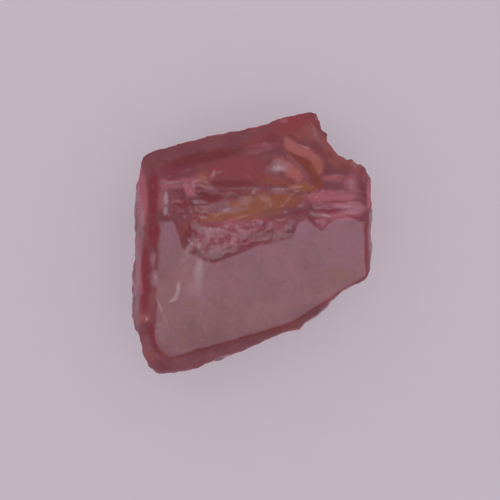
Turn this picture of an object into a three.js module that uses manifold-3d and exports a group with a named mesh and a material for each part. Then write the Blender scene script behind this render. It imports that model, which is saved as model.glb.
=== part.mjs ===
// A rough spinel: one piece of a broken, slightly water-worn tabular crystal, lying on its flat back face.
//
// Millimetres, +Z up. The origin is on the resting face, under the middle of the stone's bounding box.
// +X runs across the stone and +Y along it, towards its pointed end. The large flat crystal face looks up.
//
// The body is lofted through a stack of copies of one rim outline. Flat faces, ledges and the shell-shaped
// hollows of conchoidal fractures are then cut from it. Places are shares of the driving dimensions:
// u is a share of half the width, v of half the length, and h of the thickness.
import * as THREE from "three";
import { mergeVertices } from "three/addons/utils/BufferGeometryUtils.js";
import Module from "manifold-3d";

const wasm = await Module();
wasm.setup();

// Driving dimensions
const WIDTH = 5.7;
const LENGTH = 6.3;
const THICKNESS = 3.2;

// Larger than the stone in every direction, for the blocks that cut it.
const CUTTER = 4 * Math.max(WIDTH, LENGTH, THICKNESS);

const CRYSTAL_RED = 0x8a3f48;

// The rim, anticlockwise from its top left corner. A broken stretch has straight sides between its points,
// and a worn one runs through them in a smooth curve.
const RIM = [
  { worn: true, points: [[-0.765, 0.718], [-0.883, 0.687], [-0.925, 0.63]] },
  { worn: true, points: [[-0.966, 0.432], [-0.983, 0.23], [-0.968, 0.021], [-0.971, -0.124]] },
  { worn: true, points: [[-0.992, -0.185], [-1.0, -0.3], [-0.987, -0.55], [-0.966, -0.65]] },
  { worn: false, points: [[-0.933, -0.695], [-0.915, -0.8]] },
  { worn: true, points: [[-0.88, -0.915], [-0.807, -0.977], [-0.715, -1.0], [-0.6, -0.985]] },
  { worn: false, points: [[-0.287, -0.893], [0.09, -0.756], [0.409, -0.642], [0.468, -0.581]] },
  { worn: false, points: [[0.551, -0.528], [0.635, -0.467], [0.66, -0.435], [0.736, -0.375]] },
  { worn: true, points: [[0.769, -0.349], [0.845, -0.326], [0.945, -0.28], [0.99, -0.19]] },
  { worn: false, points: [[0.996, -0.1], [0.99, 0.23], [1.0, 0.4]] },
  { worn: false, points: [[0.987, 0.501], [0.945, 0.56], [0.904, 0.61], [0.845, 0.638]] },
  { worn: false, points: [[0.79, 0.645], [0.727, 0.684], [0.677, 0.722], [0.635, 0.79]] },
  { worn: false, points: [[0.627, 0.844], [0.577, 0.882], [0.56, 0.935]] },
  { worn: true, points: [[0.54, 0.978], [0.5, 1.0], [0.41, 0.989]] },
  { worn: false, points: [[0.283, 0.966], [0.14, 0.928]] },
];
const STEPS_PER_SPAN = 3;

// How the rim is scaled and turned at each height, from the resting face to the top.
const LEVELS = [
  { h: 0.0, scale: 0.83, turn: 2.0 },
  { h: 0.14, scale: 0.895, turn: -1.5 },
  { h: 0.32, scale: 0.96, turn: 1.0 },
  { h: 0.5, scale: 1.0, turn: 0.0 },
  { h: 0.74, scale: 1.0, turn: 0.0 },
  { h: 1.0, scale: 0.99, turn: -0.6 },
];

// Flat faces. Each passes through a point, leans by its tilt from lying level, and looks towards its heading,
// in degrees anticlockwise from +X. All of the stone that lies beyond it is cut away.
const FACES = [
  { name: "left bevel", through: [-0.765, 0.1, 1.0], tilt: 28, heading: 178 },
  { name: "left strip", through: [-0.885, 0.1, 0.962], tilt: 66, heading: 177 },
  { name: "lower left corner", through: [-0.741, -0.817, 1.0], tilt: 42, heading: -136 },
  { name: "lower bevel", through: [-0.01, -0.7, 1.0], tilt: 48, heading: -74 },
  { name: "lower right bevel", through: [0.56, -0.475, 1.0], tilt: 46, heading: -58 },
  { name: "right bevel", through: [0.945, 0.0, 1.0], tilt: 33, heading: 2 },
  { name: "right strip", through: [0.98, 0.0, 0.985], tilt: 66, heading: 1 },
  { name: "upper slope", through: [0.0, 0.46, 0.878], tilt: 24, heading: 90 },
  { name: "top edge slope", through: [0.0, 0.7, 0.755], tilt: 33, heading: 103 },
  { name: "top left slope", through: [-0.72, 0.64, 0.85], tilt: 33, heading: 126 },
  { name: "right shoulder", through: [0.9, 0.35, 0.93], tilt: 27, heading: 60 },
  { name: "salmon facet", through: [0.44, 0.7, 0.745], tilt: 33, heading: 74 },
  { name: "apex facet", through: [0.4, 0.84, 0.69], tilt: 36, heading: 70 },
  { name: "under the left side", through: [-0.98, 0.1, 0.4], tilt: 108, heading: 184 },
  { name: "low on the left side", through: [-0.86, -0.3, 0.1], tilt: 134, heading: 170 },
  { name: "under the top left corner", through: [-0.8, 0.62, 0.34], tilt: 116, heading: 132 },
  { name: "under the top side", through: [-0.3, 0.8, 0.36], tilt: 112, heading: 106 },
  { name: "under the point", through: [0.34, 0.88, 0.3], tilt: 128, heading: 80 },
  { name: "under the right shoulder", through: [0.82, 0.6, 0.36], tilt: 119, heading: 41 },
  { name: "under the right side", through: [0.975, 0.0, 0.38], tilt: 103, heading: -4 },
  { name: "low on the right side", through: [0.84, 0.1, 0.08], tilt: 141, heading: 10 },
  { name: "under the cut corner", through: [0.68, -0.4, 0.36], tilt: 113, heading: -46 },
  { name: "under the lower side", through: [0.0, -0.74, 0.34], tilt: 109, heading: -66 },
  { name: "under the lower end", through: [-0.6, -0.93, 0.36], tilt: 117, heading: -104 },
  { name: "chip under the lower end", through: [-0.42, -0.5, 0.0], tilt: 161, heading: -122 },
  { name: "chip under the top side", through: [-0.1, 0.52, 0.0], tilt: 164, heading: 84 },
];

// Ledges. Inside its plan, each cuts the stone down to a floor that is given as a face is.
const LEDGES = [
  {
    name: "shelf above the flat face",
    plan: [[-0.77, 0.34], [-0.74, 0.25], [-0.65, 0.22], [-0.59, 0.16], [-0.54, 0.02], [-0.47, -0.04],
      [-0.32, -0.11], [-0.14, -0.055], [0.03, 0.0], [0.157, 0.035], [0.3, 0.06], [0.37, 0.15], [0.434, 0.234],
      [0.535, 0.158], [0.585, 0.12], [0.644, 0.173], [0.702, 0.21], [0.828, 0.234], [1.2, 0.2], [1.2, 1.2],
      [-0.88, 1.2]],
    floor: { through: [0.0, 0.0, 0.985], tilt: 11, heading: 108 },
  },
  {
    name: "ledge under the stain",
    plan: [[-0.74, 0.62], [-0.6, 0.38], [-0.5, 0.24], [-0.42, 0.15], [-0.33, 0.13], [-0.22, 0.16], [0.0, 0.2],
      [0.14, 0.21], [0.283, 0.24], [0.41, 0.31], [0.51, 0.37], [0.66, 1.3], [-0.86, 1.3]],
    floor: { through: [0.0, 0.2, 0.912], tilt: 17, heading: 91 },
  },
  {
    name: "lower ledge on the right",
    plan: [[0.48, 0.28], [0.62, 0.265], [0.78, 0.28], [1.2, 0.27], [1.2, 1.3], [0.48, 1.3]],
    floor: { through: [0.7, 0.25, 0.955], tilt: 8, heading: 104 },
  },
  {
    name: "upper ledge on the right",
    plan: [[0.52, 0.37], [0.7, 0.345], [0.88, 0.355], [1.2, 0.34], [1.2, 1.3], [0.52, 1.3]],
    floor: { through: [0.7, 0.34, 0.918], tilt: 9, heading: 100 },
  },
];

// Hollows left by conchoidal fractures, each a shallow cap of a spheroid. It lies at a point of the surface,
// which faces as a face does. Its mouth has these half-widths down the slope and across it, and its depth is
// also in millimetres. Turn is the angle of its mouth about the way that it faces.
const HOLLOWS = [
  {
    name: "smooth shell in the upper slope",
    at: [0.01, 0.5, 0.85], tilt: 27, heading: 92, mouth: [1.7, 1.45], depth: 0.13, turn: 0,
  },
  {
    name: "crescent shell",
    at: [0.3, 0.53, 0.826], tilt: 27, heading: 90, mouth: [0.62, 0.55], depth: 0.06, turn: -45,
  },
  {
    name: "shell at the top left",
    at: [-0.5, 0.56, 0.842], tilt: 26, heading: 100, mouth: [0.5, 0.7], depth: 0.05, turn: 20,
  },
  {
    name: "shell in the right shoulder",
    at: [0.8, 0.52, 0.874], tilt: 27, heading: 60, mouth: [0.32, 0.42], depth: 0.05, turn: 0,
  },
  {
    name: "shell below the point",
    at: [0.5, 0.9, 0.62], tilt: 40, heading: 40, mouth: [0.3, 0.3], depth: 0.06, turn: 0,
  },
  {
    name: "shell in the left side",
    at: [-0.985, -0.52, 0.36], tilt: 104, heading: 184, mouth: [0.66, 1.1], depth: 0.16, turn: 14,
  },
  {
    name: "small shell in the left side",
    at: [-0.9, 0.5, 0.2], tilt: 112, heading: 172, mouth: [0.44, 0.62], depth: 0.11, turn: 0,
  },
  {
    name: "shell in the right side",
    at: [0.93, 0.24, 0.2], tilt: 108, heading: 2, mouth: [0.66, 1.0], depth: 0.17, turn: -14,
  },
  {
    name: "shell in the lower side",
    at: [0.32, -0.655, 0.3], tilt: 109, heading: -66, mouth: [0.74, 1.2], depth: 0.2, turn: 12,
  },
  {
    name: "small shell in the lower end",
    at: [-0.76, -0.9, 0.42], tilt: 117, heading: -112, mouth: [0.46, 0.6], depth: 0.11, turn: 0,
  },
  {
    name: "shell in the cut corner",
    at: [0.74, -0.36, 0.22], tilt: 116, heading: -46, mouth: [0.6, 0.6], depth: 0.13, turn: 0,
  },
  {
    name: "shell in the top side",
    at: [-0.52, 0.79, 0.26], tilt: 112, heading: 106, mouth: [0.62, 0.95], depth: 0.15, turn: -16,
  },
  {
    name: "shell in the back face",
    at: [0.62, 0.06, 0.0], tilt: 176, heading: 10, mouth: [0.6, 0.46], depth: 0.08, turn: 30,
  },
];
// How far above the surface a hollow's spheroid is centred, in depths of the hollow.
const HOLLOW_RISE = 3;
// Sides of a hollow whose mouth has a half-width of 1 mm.
const HOLLOW_SIDES = 30;

// Turns shares into a place in millimetres.
const place = (u, v, h) => new THREE.Vector3((u * WIDTH) / 2, (v * LENGTH) / 2, h * THICKNESS);

// The outward direction of a face that leans by tilt and looks towards heading.
function facing({ tilt, heading }) {
  const up = new THREE.Vector3(0, 0, 1);
  const leaning = up.applyAxisAngle(new THREE.Vector3(0, 1, 0), THREE.MathUtils.degToRad(tilt));
  return leaning.applyAxisAngle(new THREE.Vector3(0, 0, 1), THREE.MathUtils.degToRad(heading));
}

// Closed geometry to a solid, with only the position kept so that shared vertices merge.
function solid(geometry) {
  const bare = geometry.clone();
  bare.deleteAttribute("normal");
  bare.deleteAttribute("uv");
  const merged = mergeVertices(bare);
  return new wasm.Manifold(
    new wasm.Mesh({
      numProp: 3,
      vertProperties: merged.getAttribute("position").array,
      triVerts: new Uint32Array(merged.index.array),
    }),
  );
}

// The rim as a list of points, in millimetres.
function rimPoints() {
  const path = new THREE.Path();
  const flat = ([u, v]) => new THREE.Vector2((u * WIDTH) / 2, (v * LENGTH) / 2);
  path.moveTo(...flat(RIM[0].points[0]).toArray());
  for (const { worn, points } of RIM) {
    if (worn) path.splineThru(points.map(flat));
    else points.map(flat).forEach((p) => path.lineTo(p.x, p.y));
  }
  path.closePath();
  const points = path.getPoints(STEPS_PER_SPAN);
  return points.filter((p, i) => p.distanceTo(points[(i + 1) % points.length]) > 0.02);
}

// The body: the rim at each level, joined to the next level by a band of triangles and capped at both ends.
function body() {
  const rim = rimPoints();
  const positions = LEVELS.flatMap(({ h, scale, turn }) =>
    rim.flatMap((p) => {
      const q = p.clone().rotateAround(new THREE.Vector2(), THREE.MathUtils.degToRad(turn));
      return [q.x * scale, q.y * scale, h * THICKNESS];
    }),
  );
  const n = rim.length;
  const top = (LEVELS.length - 1) * n;
  const triangles = [];
  for (let level = 0; level < LEVELS.length - 1; level++) {
    for (let i = 0; i < n; i++) {
      const a = level * n + i;
      const b = level * n + ((i + 1) % n);
      triangles.push(a, b, b + n, a, b + n, a + n);
    }
  }
  for (const [a, b, c] of THREE.ShapeUtils.triangulateShape(rim, [])) {
    triangles.push(c, b, a, a + top, b + top, c + top);
  }
  const geometry = new THREE.BufferGeometry();
  geometry.setAttribute("position", new THREE.Float32BufferAttribute(positions, 3));
  geometry.setIndex(triangles);
  return solid(geometry);
}

// A block that fills everything beyond a face.
function beyond(face) {
  const out = facing(face);
  const block = new THREE.BoxGeometry(CUTTER, CUTTER, CUTTER).translate(0, 0, CUTTER / 2);
  block.applyQuaternion(new THREE.Quaternion().setFromUnitVectors(new THREE.Vector3(0, 0, 1), out));
  const p = place(...face.through);
  return solid(block.translate(p.x, p.y, p.z));
}

// What a ledge takes away: the part above its floor of a tall prism on its plan.
function aboveLedge({ plan, floor }) {
  const shape = new THREE.Shape(plan.map(([u, v]) => new THREE.Vector2((u * WIDTH) / 2, (v * LENGTH) / 2)));
  const prism = new THREE.ExtrudeGeometry(shape, { depth: CUTTER, bevelEnabled: false });
  return solid(prism).intersect(beyond(floor));
}

// Lays a geometry made about the origin, facing +Z, on a point of the surface, so that it faces as that does.
function laidOn(geometry, { at, tilt, heading }, rise) {
  geometry.rotateY(THREE.MathUtils.degToRad(tilt));
  geometry.rotateZ(THREE.MathUtils.degToRad(heading));
  const p = place(...at).addScaledVector(facing({ tilt, heading }), rise);
  return geometry.translate(p.x, p.y, p.z);
}

// The spheroid that leaves a hollow. It is so wide that the surface cuts it at the hollow's mouth.
function hollow(shell) {
  const [down, across] = shell.mouth;
  const height = (HOLLOW_RISE + 1) * shell.depth;
  const cut = Math.sqrt(1 - (HOLLOW_RISE / (HOLLOW_RISE + 1)) ** 2);
  const around = Math.round(HOLLOW_SIDES * Math.sqrt(Math.max(down, across)));
  const geometry = new THREE.SphereGeometry(1, around, around);
  geometry.rotateX(Math.PI / 2).scale(down / cut, across / cut, height);
  geometry.rotateZ(THREE.MathUtils.degToRad(shell.turn));
  return solid(laidOn(geometry, shell, HOLLOW_RISE * shell.depth));
}

function stone() {
  let made = body();
  for (const face of FACES) made = made.subtract(beyond(face));
  for (const ledge of LEDGES) made = made.subtract(aboveLedge(ledge));
  for (const bite of HOLLOWS) made = made.subtract(hollow(bite));
  return made;
}

// A solid back to geometry, with one normal to each flat triangle.
function geometryOf(made) {
  const { numProp, vertProperties, triVerts } = made.getMesh();
  const positions = new Float32Array((vertProperties.length / numProp) * 3);
  for (let i = 0; i < positions.length / 3; i++) {
    positions.set(vertProperties.subarray(i * numProp, i * numProp + 3), i * 3);
  }
  const indexed = new THREE.BufferGeometry();
  indexed.setAttribute("position", new THREE.BufferAttribute(positions, 3));
  indexed.setIndex(new THREE.BufferAttribute(triVerts, 1));
  const flat = indexed.toNonIndexed();
  flat.computeVertexNormals();
  return flat;
}

const crystal = new THREE.Mesh(
  geometryOf(stone()),
  new THREE.MeshStandardMaterial({ color: CRYSTAL_RED, roughness: 0.3, metalness: 0, flatShading: true }),
);
crystal.name = "spinel_crystal";

const roughSpinel = new THREE.Group();
roughSpinel.add(crystal);

export default roughSpinel;
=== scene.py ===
"""A rough spinel: a broken, slightly worn tabular crystal, lying on its flat back under a soft light."""

import math

import bpy
import numpy as np
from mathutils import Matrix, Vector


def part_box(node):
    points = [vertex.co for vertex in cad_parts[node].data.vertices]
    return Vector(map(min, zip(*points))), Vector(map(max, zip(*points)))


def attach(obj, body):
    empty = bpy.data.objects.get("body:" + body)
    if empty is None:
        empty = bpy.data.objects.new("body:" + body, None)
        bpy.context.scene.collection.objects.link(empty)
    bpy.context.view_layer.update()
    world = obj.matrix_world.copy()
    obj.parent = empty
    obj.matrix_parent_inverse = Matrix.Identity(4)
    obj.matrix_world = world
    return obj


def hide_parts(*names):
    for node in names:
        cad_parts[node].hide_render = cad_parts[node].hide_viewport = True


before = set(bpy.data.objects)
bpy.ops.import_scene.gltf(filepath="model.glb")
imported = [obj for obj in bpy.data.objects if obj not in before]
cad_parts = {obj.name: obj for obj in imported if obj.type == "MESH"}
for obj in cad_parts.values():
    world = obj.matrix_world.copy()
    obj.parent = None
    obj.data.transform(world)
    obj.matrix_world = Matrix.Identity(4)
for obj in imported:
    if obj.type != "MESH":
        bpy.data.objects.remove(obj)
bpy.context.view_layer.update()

MM = 0.001
corner_low, corner_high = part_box("spinel_crystal")
WIDTH, LENGTH, THICKNESS = (np.array(corner_high) - np.array(corner_low)) / MM
CENTRE_X, CENTRE_Y, _ = (np.array(corner_high) + np.array(corner_low)) / 2 / MM

# The shape is worked out in millimetres. Places are shares of the stone's size: u of half its width, v of
# half its length, h of its thickness.

# The rim, anticlockwise from its top left corner. What lies between its points is straight.
RIM = [
    (-0.765, 0.718), (-0.83, 0.708), (-0.883, 0.687), (-0.915, 0.655), (-0.935, 0.6), (-0.972, 0.432),
    (-0.994, 0.33), (-0.988, 0.23), (-0.978, 0.12), (-0.968, 0.021), (-0.966, -0.06), (-0.975, -0.124),
    (-0.997, -0.165), (-1.01, -0.23), (-1.004, -0.3), (-1, -0.42), (-1, -0.55), (-0.98, -0.65),
    (-0.943, -0.695), (-0.927, -0.75), (-0.918, -0.8), (-0.902, -0.87), (-0.87, -0.925), (-0.807, -0.977),
    (-0.76, -0.995), (-0.715, -1), (-0.6, -0.985), (-0.287, -0.893), (0.09, -0.756), (0.409, -0.65),
    (0.475, -0.595), (0.565, -0.545), (0.645, -0.48), (0.668, -0.445), (0.736, -0.38), (0.769, -0.349),
    (0.845, -0.326), (0.905, -0.305), (0.945, -0.28), (0.975, -0.24), (0.99, -0.19), (0.996, -0.1),
    (1.006, 0), (1.014, 0.1), (1.006, 0.23), (1.012, 0.4), (1, 0.495), (0.962, 0.54), (0.95, 0.566),
    (0.915, 0.6), (0.888, 0.6), (0.85, 0.638), (0.812, 0.635), (0.79, 0.655), (0.742, 0.672), (0.725, 0.69),
    (0.69, 0.722), (0.652, 0.785), (0.648, 0.848), (0.6, 0.885), (0.585, 0.935), (0.565, 0.99),
    (0.51, 1.017), (0.45, 1.012), (0.41, 1.004), (0.283, 0.972), (0.14, 0.928),
]

# How the rim is scaled and turned (in degrees) at each height.
LEVEL_HEIGHTS = (0.0, 0.14, 0.32, 0.56, 0.84, 1.0)
LEVEL_SCALES = (0.83, 0.895, 0.96, 0.99, 1.0, 0.995)
LEVEL_TURNS = (2.0, -1.5, 1.0, 0.0, 0.0, -0.6)

# Flat faces: a point that each passes through, its tilt from lying level, the way it looks, in degrees
# anticlockwise from +X, and how wide its worn edges are, in millimetres.
FACES = {
    "left bevel": ((-0.765, 0.1, 1), 28, 178, 0.03),
    "left strip": ((-0.885, 0.1, 0.962), 66, 177, 0.035),
    "lower left corner": ((-0.741, -0.817, 1), 42, -136, 0.12),
    "lower bevel": ((-0.01, -0.7, 1), 48, -74, 0.04),
    "lower right bevel": ((0.56, -0.475, 1), 46, -58, 0.04),
    "right bevel": ((0.945, 0, 1), 33, 2, 0.03),
    "right strip": ((0.98, 0, 0.985), 66, 1, 0.04),
    "upper slope": ((0, 0.46, 0.878), 24, 90, 0.04),
    "top edge slope": ((0, 0.7, 0.755), 33, 103, 0.04),
    "top left slope": ((-0.72, 0.64, 0.85), 33, 126, 0.05),
    "right shoulder": ((0.9, 0.35, 0.93), 27, 60, 0.03),
    "salmon facet": ((0.44, 0.7, 0.745), 33, 74, 0.03),
    "apex facet": ((0.4, 0.84, 0.69), 36, 70, 0.03),
    "under the left side": ((-0.98, 0.1, 0.4), 108, 184, 0.1),
    "low on the left side": ((-0.86, -0.3, 0.1), 134, 170, 0.1),
    "under the top left corner": ((-0.8, 0.62, 0.34), 116, 132, 0.08),
    "under the top side": ((-0.3, 0.8, 0.36), 112, 106, 0.08),
    "under the point": ((0.34, 0.88, 0.3), 128, 80, 0.08),
    "under the right shoulder": ((0.82, 0.6, 0.36), 119, 41, 0.08),
    "under the right side": ((0.975, 0, 0.38), 103, -4, 0.08),
    "low on the right side": ((0.84, 0.1, 0.08), 141, 10, 0.1),
    "under the cut corner": ((0.68, -0.4, 0.36), 113, -46, 0.08),
    "under the lower side": ((0, -0.74, 0.34), 109, -66, 0.08),
    "under the lower end": ((-0.6, -0.93, 0.36), 117, -104, 0.1),
    "chip under the lower end": ((-0.42, -0.5, 0), 161, -122, 0.08),
    "chip under the top side": ((-0.1, 0.52, 0), 164, 84, 0.08),
}


def direction(tilt, heading):
    """The unit vector that leans by tilt from straight up, towards heading."""
    tilt, heading = math.radians(tilt), math.radians(heading)
    return np.array([math.sin(tilt) * math.cos(heading), math.sin(tilt) * math.sin(heading), math.cos(tilt)])


def place(u, v, h):
    """Shares of the stone's size to a point in millimetres."""
    return np.array([CENTRE_X + u * WIDTH / 2, CENTRE_Y + v * LENGTH / 2, h * THICKNESS])


def rounded_max(a, b, width):
    """The larger of two distances, with the crease between them rounded: a parabola is added where they
    differ by less than width."""
    return np.maximum(a, b) + np.maximum(width - np.abs(a - b), 0) ** 2 / (4 * width)


def height_over(p, face):
    """How far points are outside a flat face: their offset from a point of it, along its outward
    direction."""
    through, tilt, heading = face[:3]
    return (p - place(*through)) @ direction(tilt, heading)


TOP_FACES = [face for face in FACES.values() if face[1] < 60]
STEEP_FACES = [face for face in FACES.values() if face[1] >= 60]

# How wide the worn edges of the rim, the foot, the ledges and the hollows are, in millimetres.
RIM_WORN = 0.035
FOOT_WORN = 0.08
LEDGE_WORN = 0.02
HOLLOW_WORN = 0.015

# Ledges that a break along the layers of growth left: the edge that each one starts from, as points (u, v),
# the height of its crest, how steep its riser is, and its floor, given as a face is.
LEDGES = {
    "shelf above the flat face": {
        "edge": [(-0.9, 1.4), (-0.79, 0.3), (-0.75, 0.215), (-0.66, 0.185), (-0.62, 0.13), (-0.58, -0.02),
                 (-0.5, -0.07), (-0.41, -0.115), (-0.32, -0.147), (-0.22, -0.12), (-0.136, -0.086),
                 (0.03, -0.025), (0.157, 0.006), (0.3, 0.03), (0.335, 0.05), (0.37, 0.12), (0.4, 0.18),
                 (0.434, 0.204), (0.48, 0.175), (0.535, 0.128), (0.585, 0.09), (0.62, 0.11), (0.644, 0.143),
                 (0.702, 0.181), (0.828, 0.204), (0.929, 0.181), (1.3, 0.16)],
        "crest": 1, "riser": 32, "floor": ((0, 0, 0.985), 11, 108),
    },
    "ledge under the stain": {
        "edge": [(-0.95, 1.1), (-0.74, 0.62), (-0.6, 0.38), (-0.5, 0.24), (-0.42, 0.15), (-0.33, 0.125),
                 (-0.22, 0.155), (-0.1, 0.17), (0, 0.19), (0.14, 0.2), (0.283, 0.234), (0.35, 0.26),
                 (0.41, 0.3), (0.51, 0.36), (0.66, 1.4)],
        "crest": 0.93, "riser": 45, "floor": ((0, 0.2, 0.912), 17, 91),
    },
}

# Shallow hollows of shell-shaped fractures: a point of the surface, its tilt and the way it looks,
# half-widths down the slope and to its left and right (looking up the slope), the depth, all in
# millimetres, how steeply the sides end (1 for a paraboloid's, more for a flatter bottom), and the turn.
HOLLOWS = {
    "smooth shell in the upper slope": ((0.17, 0.5, 0.85), 27, 92, (1.7, 1.9, 1), 0.13, 3, 0),
    "crescent shell": ((0.342, 0.512, 0.828), 27, 90, (0.62, 0.9, 0.5), 0.035, 1.2, -45),
    "level spot in the smooth shell": ((0.224, 0.57, 0.775), 8, 90, (0.14, 0.23, 0.23), 0.03, 1, 0),
    "pit left of the torn band": ((-0.48, 0.1, 0.975), 11, 108, (0.22, 0.16, 0.16), 0.07, 1, 20),
    "shell at the top left": ((-0.5, 0.56, 0.842), 26, 100, (0.5, 0.8, 0.6), 0.05, 1, 20),
    "shell in the right shoulder": ((0.8, 0.52, 0.874), 27, 60, (0.32, 0.42, 0.42), 0.05, 1, 0),
    "shell below the point": ((0.5, 0.9, 0.62), 40, 40, (0.3, 0.3, 0.3), 0.06, 1, 0),
    "shell in the left side": ((-0.985, -0.52, 0.36), 104, 184, (0.66, 1.1, 1.1), 0.16, 1, 14),
    "small shell in the left side": ((-0.9, 0.5, 0.2), 112, 172, (0.44, 0.62, 0.62), 0.11, 1, 0),
    "shell in the right side": ((0.93, 0.24, 0.2), 108, 2, (0.66, 1, 1), 0.17, 1, -14),
    "shell in the lower side": ((0.32, -0.655, 0.3), 109, -66, (0.74, 1.2, 1.2), 0.2, 1, 12),
    "small shell in the lower end": ((-0.76, -0.9, 0.42), 117, -112, (0.46, 0.6, 0.6), 0.11, 1, 0),
    "shell in the cut corner": ((0.74, -0.36, 0.22), 116, -46, (0.6, 0.6, 0.6), 0.13, 1, 0),
    "shell in the top side": ((-0.52, 0.79, 0.26), 112, 106, (0.62, 0.95, 0.95), 0.15, 1, -16),
    "shell in the back face": ((0.62, 0.06, 0), 176, 10, (0.6, 0.46, 0.46), 0.08, 1, 30),
}
RIPPLE_SPACING = 0.16
RIPPLE_SHARE = 0.008

# Where the rays start that find the surface, as a share of the stone's width, and how far and in how many
# halvings they are followed.
CENTRE = place(-0.02, 0.0, 0.46)
SPREAD = 0.7
RAY_REACH = 4.0
BISECTIONS = 14


# What brings the lattice noise to about 1, how far a shell's bottom strays from the middle of its cell, the
# squared distance from it at which a shell's height is 1, the most that this can be, and a squared distance
# to start from that is larger than any that counts.
NOISE_GAIN = 1.6
SHELL_STRAYS = 0.42
SHELL_REACH = 0.75
SHELL_MOST = 1.3
FAR_OFF = 9.0


def random_slopes(seed):
    """256 unit vectors for the lattice of a noise, the same every time."""
    slopes = np.random.default_rng(seed).normal(size=(256, 3))
    return slopes / np.linalg.norm(slopes, axis=1, keepdims=True)


SLOPES = random_slopes(7)


def lattice_mix(cell, seed):
    """A whole number from 0 to 255 for each cell of a lattice, by mixing its three coordinates."""
    mixed = (cell * np.array([73856093, 19349663, 83492791])).sum(axis=-1) + seed * 2654435761
    mixed ^= mixed >> 13
    mixed = mixed * 1274126177
    return (mixed ^ (mixed >> 16)) & 255


def noise(p, scale, seed=0):
    """Smooth random relief from about -1 to 1: each corner of a lattice with cells of that scale has a random
    slope, and the heights of the eight slopes round a point are blended by the curve 6t^5 - 15t^4 + 10t^3."""
    q = p / scale + 100.0
    cell = np.floor(q).astype(np.int64)
    t = q - cell
    blend = t**3 * (t * (t * 6 - 15) + 10)
    total = np.zeros(len(p))
    for corner in np.ndindex(2, 2, 2):
        slope = SLOPES[lattice_mix(cell + corner, seed)]
        weight = np.prod(np.where(corner, blend, 1 - blend), axis=1)
        total += weight * ((t - corner) * slope).sum(axis=1)
    return total * NOISE_GAIN


def scallops(p, size, seed=0):
    """Sharp-edged little shells: the squared distance to the nearest of a set of points, one jittered point
    to a cell of that size, from 0 at a shell's bottom to about 1 at its edges."""
    q = p / size + 100.0
    cell = np.floor(q).astype(np.int64)
    nearest = np.full(len(p), FAR_OFF)
    for step in np.ndindex(3, 3, 3):
        neighbour = cell + np.array(step) - 1
        jitter = 0.5 + SHELL_STRAYS * SLOPES[lattice_mix(neighbour, seed)]
        nearest = np.minimum(nearest, ((neighbour + jitter - q) ** 2).sum(axis=1))
    return np.minimum(nearest / SHELL_REACH, SHELL_MOST)


def rim_table(steps=24):
    """Angles and distances from the axis of points along the rim's straight edges, for reading between."""
    corners = np.array(RIM) * (WIDTH / 2, LENGTH / 2)
    share = np.linspace(0, 1, steps, endpoint=False)[:, None]
    edges = [a + (b - a) * share for a, b in zip(corners, np.roll(corners, -1, axis=0))]
    points = np.concatenate(edges)
    return np.unwrap(np.arctan2(points[:, 1], points[:, 0])), np.hypot(points[:, 0], points[:, 1])


RIM_ANGLES, RIM_RADII = rim_table()


def rim_radius(angle):
    """The rim's distance from the axis at each angle."""
    return np.interp(angle, RIM_ANGLES, RIM_RADII, period=2 * math.pi)


def outside_rim(p):
    """How far points are outside the rim: their distance from the axis, less the rim's at that angle once
    it is scaled and turned as it is at their height."""
    h = p[:, 2] / THICKNESS
    x, y = p[:, 0] - CENTRE_X, p[:, 1] - CENTRE_Y
    angle = np.arctan2(y, x) - np.radians(np.interp(h, LEVEL_HEIGHTS, LEVEL_TURNS))
    return np.hypot(x, y) - np.interp(h, LEVEL_HEIGHTS, LEVEL_SCALES) * rim_radius(angle)


def distance_to(q, line):
    """Each place's distance in plan to the nearest stretch of a line: to the foot of its upright on the
    stretch, kept between the stretch's ends."""
    nearest = np.full(len(q), FAR_OFF)
    for start, end in zip(line[:-1], line[1:]):
        along = np.clip((q - start) @ (end - start) / ((end - start) @ (end - start)), 0, 1)
        nearest = np.minimum(nearest, ((q - start - along[:, None] * (end - start)) ** 2).sum(axis=1))
    return np.sqrt(nearest)


# The height, as a share of the stone's, under which there are no ledges.
LEDGES_FROM = 0.6


def beyond_edge(p, edge):
    """How far points are past a ledge's edge in plan: their distance to it, negative before it. Points low
    on the stone count as far before it."""
    line = np.array(edge) * (WIDTH / 2, LENGTH / 2)
    high = p[:, 2] > LEDGES_FROM * THICKNESS
    q = p[high, :2] - (CENTRE_X, CENTRE_Y)
    past = np.full(len(p), -1.0)
    past[high] = distance_to(q, line) * np.where(q[:, 1] > np.interp(q[:, 0], line[:, 0], line[:, 1]), 1, -1)
    return past


def within_outline(p, outline):
    """How far points are inside a closed outline in plan: their distance to it, negative outside. A point
    is inside where a line from it towards +X crosses the outline an odd number of times."""
    line = np.array(outline + outline[:1]) * (WIDTH / 2, LENGTH / 2)
    q = p[:, :2] - (CENTRE_X, CENTRE_Y)
    inside = np.zeros(len(q), dtype=bool)
    for start, end in zip(line[:-1], line[1:]):
        crossing = start[0] + (end[0] - start[0]) * (q[:, 1] - start[1]) / (end[1] - start[1] + 1e-9)
        inside ^= ((start[1] > q[:, 1]) != (end[1] > q[:, 1])) & (q[:, 0] < crossing)
    return distance_to(q, line) * np.where(inside, 1, -1)


def above_ledge(p, edged, uneven, ledge):
    """How far points are inside what a ledge takes away: above its uneven floor, and above a riser that
    leaves the edge at the crest's height and slopes down past it. The points for the edge are shaken a
    little."""
    riser = math.radians(ledge["riser"])
    past = beyond_edge(edged, ledge["edge"]) * math.sin(riser)
    below_crest = (ledge["crest"] * THICKNESS - p[:, 2]) * math.cos(riser)
    return -rounded_max(below_crest - past, uneven - height_over(p, ledge["floor"]), LEDGE_WORN)


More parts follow.
